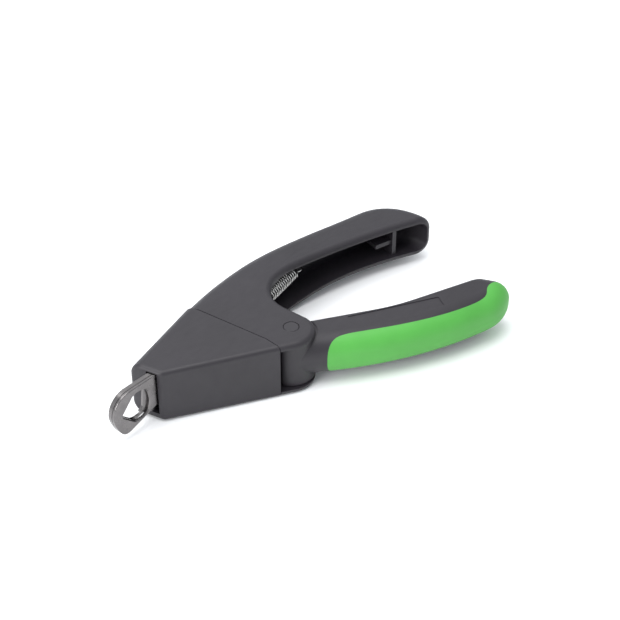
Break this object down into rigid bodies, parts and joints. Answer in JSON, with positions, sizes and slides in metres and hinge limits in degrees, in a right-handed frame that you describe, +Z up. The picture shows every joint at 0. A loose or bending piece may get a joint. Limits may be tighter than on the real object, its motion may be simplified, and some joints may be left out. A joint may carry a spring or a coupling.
{
  "type": "nail clipper",
  "caption": "Guillotine nail clipper for pets: a steel ring, a sliding blade, a fixed handle, a hinged lever with a soft grip, and a return spring.",
  "frame": {"origin": "on the lever's hinge axis, at the flat underside of the head that the clipper lies on", "axes": "+X from the nose to the handle ends and parallel to the blade's travel, +Y from the lever to the fixed handle, +Z up along the hinge axis"},
  "size_m": [0.1616, 0.086, 0.0232],
  "materials": {
    "shell_plastic": "fine matte texture, dark grey",
    "grip_rubber": "soft satin green",
    "bright_steel": "tumbled and plated",
    "plain_steel": "turned or stamped",
    "dark_steel": "blackened",
    "spring_steel": "bright drawn wire",
    "insert_brass": "turned",
    "cap_plastic": "satin, dark grey",
    "carrier_plastic": "natural moulded"
  },
  "bodies": {
    "frame": {"handle_body": "shell_plastic", "ring_holder": "bright_steel", "ring_screws": "bright_steel", "threaded_inserts": "insert_brass", "pivot_pin": "plain_steel", "pivot_cap_top": "cap_plastic", "pivot_cap_bottom": "cap_plastic", "thrust_washer_top": "carrier_plastic", "thrust_washer_bottom": "carrier_plastic", "spring_anchor_pin": "dark_steel", "return_spring": "spring_steel"},
    "lever": {"lever": "shell_plastic", "soft_grip": "grip_rubber", "drive_arm": "plain_steel", "pivot_bush": "insert_brass"},
    "carrier": {"blade_carrier": "carrier_plastic", "blade": "bright_steel", "blade_rivets": "bright_steel", "drive_pin": "plain_steel", "spring_hook_pin": "dark_steel"},
    "cover": {"nose_cover": "shell_plastic"}
  },
  "joints": [
    {"name": "lever_hinge", "type": "hinge", "parent": "frame", "child": "lever", "pos_m": [0, 0, 0.0116], "axis": [0, 0, 1], "range_deg": [0, 29], "stiffness_Nm_per_rad": 0.25, "springref_deg": -17.19},
    {"name": "blade_slide", "type": "slide", "parent": "frame", "child": "carrier", "axis": [-1, 0, 0], "range_m": [0, 0.01036], "deforming": ["return_spring"]},
    {"name": "cover_slide", "type": "slide", "parent": "frame", "child": "cover", "axis": [-1, 0, 0], "range_m": [0, 0.062]}
  ],
  "couplings": [
    {"joint": "blade_slide", "follows": "lever_hinge", "m_per_rad": 0.020438}
  ]
}
